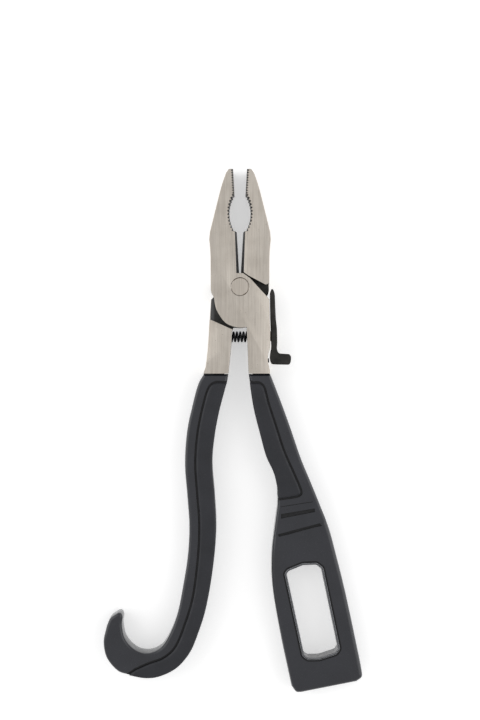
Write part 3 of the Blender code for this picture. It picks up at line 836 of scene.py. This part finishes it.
def slot_room(silhouette, hexagon):
    """The room inside it, which leaves a wall round the slot."""
    room = hollow("room", silhouette, COATING_LOW, COATING_HIGH)
    wall = COATING_WALL
    cut(room, pry_plate("over", wall, PRY_HIGH - wall, THICKNESS + PAST),
        pry_plate("under", wall, -PAST, PRY_LOW + wall))
    return cut(room, slab("lining", inset(hexagon, -LIP_WIDTH - LINING_WALL), -PAST, THICKNESS + PAST))


def slot_coating(mat, silhouette):
    """The sleeve over the slotted handle, with its grooves, its slot and the lip round it."""
    sleeve = slot_sleeve(mat, silhouette)
    channels(sleeve, inset(spline(SLOT_GRIPPED) + spline(SLOT_GROOVE), -CHANNEL_WIDTH))
    channels(sleeve, TRANSVERSE_GROOVE, TRANSVERSE_DEPTH)
    channels(sleeve, FINE_GROOVE, FINE_DEPTH)
    channels(sleeve, STEP_FOOT, STEP_DEPTH, PRY_LOW, PRY_HIGH)
    hexagon = slot_opening()
    cut(sleeve, slot_room(silhouette, hexagon))
    for low, high in ((PRY_HIGH - RING_DEPTH, PRY_HIGH + PAST), (PRY_LOW - PAST, PRY_LOW + RING_DEPTH)):
        cut(sleeve, ring_cutter(hexagon, LIP_WIDTH - RING_OVERLAP, LIP_WIDTH + RING_WIDTH, low, high))
    join(sleeve, slot_lip())
    cut(sleeve, slab("slot", hexagon, -PAST, THICKNESS + PAST))
    shade(sleeve.data)
    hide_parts("slot_handle_coating")
    return sleeve


def grip(name, node, mat, edge, groove, silhouette):
    """The softer layer: a round-edged pad that wraps the coated handle's inner side."""
    pad = pillow(name, mat, edge + groove, 0.0, THICKNESS, GRIP_ROUND)
    cut(pad, slab("room", inset(silhouette, -GRIP_CLEARANCE), COATING_LOW - GRIP_CLEARANCE,
                  COATING_HIGH + GRIP_CLEARANCE))
    shade(pad.data)
    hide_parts(node)
    return pad


def latch(mat):
    """The lever, with a hole for its pin."""
    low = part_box("latch_lever")[0][2] / MM
    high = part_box("latch_lever")[1][2] / MM
    outline = softened(LATCH_OUTLINE, LATCH_CORNER, CORNER_STEPS)
    lever = pillow("latch_lever_forged", mat, outline, low, high, LATCH_ROUND)
    pin_low, pin_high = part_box("latch_pin")
    centre = [(a + b) / 2 / MM for a, b in zip(pin_low, pin_high)]
    turns = np.linspace(0, 2 * math.pi, LATCH_HOLE_SIDES + 1)[:-1]
    hole = [(centre[0] + LATCH_HOLE_RADIUS * math.cos(t), centre[1] + LATCH_HOLE_RADIUS * math.sin(t))
            for t in turns]
    cut(lever, slab("hole", hole, 0, pin_high[2] / MM + GAP))
    shade(lever.data)
    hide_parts("latch_lever")
    return lever


def springs(mat):
    """Both coils, each set between the two bodies that it pushes apart."""
    path = coil_path(SPRING_ENDS, SPRING_Y, MID, SPRING_RADIUS, SPRING_TURNS, SPRING_WIRE)
    main = tube("return_spring_coil", mat, path, SPRING_WIRE)
    path = coil_path(LATCH_SPRING_ENDS, LATCH_SPRING_Y, LATCH_SPRING_Z, LATCH_SPRING_RADIUS,
                     LATCH_SPRING_TURNS, LATCH_SPRING_WIRE)
    small = tube("latch_spring_coil", mat, path, LATCH_SPRING_WIRE, LATCH_SPRING_SIDES)
    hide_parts("return_spring")
    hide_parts("latch_spring")
    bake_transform(main)
    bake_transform(small)


def tooth_roots(side):
    """The bottoms of the teeth along the pipe grip and the tip; side is -1 for the left jaw."""
    low = np.array([-GRIP_LOW_X, GRIP_LOW_Y])
    high = np.array([-THROAT_X, THROAT_Y])
    chord = high - low
    half = np.linalg.norm(chord) / 2
    radius = (half ** 2 + GRIP_HOLLOW ** 2) / (2 * GRIP_HOLLOW)
    sweep = math.asin(half / radius)
    along = chord / (2 * half)
    left = np.array([-along[1], along[0]])
    centre = (low + high) / 2 + left * (GRIP_HOLLOW - radius)
    roots = []
    for k in range(PIPE_TEETH):
        angle = sweep * (2 * (k + 0.5) / PIPE_TEETH - 1)
        roots.append(centre + (radius + ROOT_DEPTH) * (along * math.sin(angle) + left * math.cos(angle)))
    tip = np.array([-TIP_X, TIP_Y])
    for k in range(TIP_TEETH):
        roots.append(high + (tip - high) * (k + 0.5) / TIP_TEETH + left * ROOT_DEPTH)
    return [(-side * x, y) for x, y in roots]


def forging(node, name, side):
    """A half of the tool, with the roots of its teeth opened a little at both faces."""
    half = eased(node, name, ground_steel("ground_steel_" + node, side), FORGING_EASE)
    roots = tooth_roots(side)
    cut(half, pegs(roots, ROOT_RADIUS, THICKNESS - ROOT_SINK, THICKNESS + PAST),
        pegs(roots, ROOT_RADIUS, -PAST, ROOT_SINK))
    shade(half.data, FORGED_SMOOTH_ANGLE)
    return half


def build_pieces():
    """Every visible piece, each on the body that carries it."""
    hook_outline = hook_silhouette(GRIP_WRAP)
    slot_outline = slot_silhouette(GRIP_WRAP)
    vinyl = dipped_vinyl()
    rubber = grip_rubber()
    riding = [
        (forging("front_half", "front_forging", -1), "front_body", "forged_steel"),
        (forging("rear_half", "rear_forging", 1), "rear_body", "forged_steel"),
        (eased("rivet", "rivet_head", rivet_steel(), RIVET_EASE), "front_body", "rivet_steel"),
        (eased("latch_pin", "latch_pin_turned", plain_pin_steel(), PIN_EASE), "front_body", "rivet_steel"),
        (latch(black_oxide()), "latch", "black_steel"),
        (hook_coating(vinyl, hook_outline), "rear_body", "vinyl_coating"),
        (slot_coating(vinyl, slot_outline), "front_body", "vinyl_coating"),
        (grip("hook_handle_overlay", "hook_handle_grip", rubber, spline(HOOK_GRIPPED), spline(HOOK_GROOVE),
              hook_outline), "rear_body", "grip_rubber"),
        (grip("slot_handle_overlay", "slot_handle_grip", rubber, spline(SLOT_GRIPPED), spline(SLOT_GROOVE),
              slot_outline), "front_body", "grip_rubber"),
    ]
    for piece, body, slot in riding:
        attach(piece, body)
    springs(spring_wire())


# ------------------------------------------------------------------- stage

def floor():
    """A plain white floor that glows a little, so that it stays pale."""
    corners = ((-1, -1), (1, -1), (1, 1), (-1, 1))
    mesh = bpy.data.meshes.new("floor")
    mesh.from_pydata([(x * FLOOR_REACH, y * FLOOR_REACH, FLOOR_Z) for x, y in corners], [], [(0, 1, 2, 3)])
    n = Nodes("studio_floor", 0.9)
    n.colour(n.blend(n.span(n.noise(40, 2), 0.3, 0.7), (0.88, 0.88, 0.88), (0.90, 0.90, 0.90)))
    n.shader.inputs["Emission Color"].default_value = (1.0, 1.0, 1.0, 1.0)
    n.shader.inputs["Emission Strength"].default_value = FLOOR_GLOW
    link("floor", mesh, n.mat)


def softbox(name, position, energy):
    """A large area light that looks at the object."""
    light = bpy.data.lights.new(name, "AREA")
    light.shape = "RECTANGLE"
    light.size, light.size_y = SOFTBOX_SIZE
    light.energy = energy
    obj = bpy.data.objects.new(name, light)
    obj.location = position
    obj.rotation_euler = (Vector(LIGHT_TARGET) - Vector(position)).to_track_quat("-Z", "Y").to_euler()
    bpy.context.scene.collection.objects.link(obj)


def studio():
    """Even white surroundings and a softbox on each side."""
    world = bpy.data.worlds.new("studio")
    world.use_nodes = True
    sky = world.node_tree.nodes["Background"]
    sky.inputs["Color"].default_value = (1.0, 1.0, 1.0, 1.0)
    sky.inputs["Strength"].default_value = SKY_LIGHT
    bpy.context.scene.world = world
    for name, position, energy in SOFTBOXES:
        softbox(name, position, energy)
    bpy.context.scene.view_settings.view_transform = "Standard"


def camera():
    """Straight down, from high enough that the frame's long side fits the length asked for."""
    data = bpy.data.cameras.new("camera")
    data.sensor_width = SENSOR
    data.lens = SENSOR * (CAMERA_HEIGHT - THICKNESS * MM) / FRAME_LENGTH
    obj = bpy.data.objects.new("camera", data)
    obj.location = (*VIEW_CENTRE, CAMERA_HEIGHT)
    bpy.context.scene.collection.objects.link(obj)
    bpy.context.scene.camera = obj


camera()
build_pieces()
floor()
studio()
